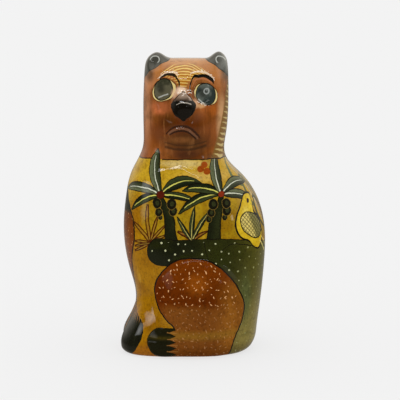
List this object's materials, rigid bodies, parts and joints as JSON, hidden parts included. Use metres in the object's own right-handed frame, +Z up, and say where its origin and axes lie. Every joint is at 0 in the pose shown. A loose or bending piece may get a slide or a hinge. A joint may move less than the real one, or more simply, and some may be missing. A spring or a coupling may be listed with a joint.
{
  "type": "pottery cat figurine",
  "caption": "Seated cat figurine in burnished painted pottery, body in profile and head turned to the side, with low ears and a flat base.",
  "frame": {"origin": "on the ground, under the middle of the figure", "axes": "+Z up; the face and the near flank look along -Y, the chest along -X, the rump along +X"},
  "size_m": [0.144, 0.1208, 0.2983],
  "materials": {
    "painted_clay": "burnished, hand-painted and glossy"
  },
  "bodies": {
    "root": {"cat_figurine": "painted_clay"}
  },
  "joints": []
}
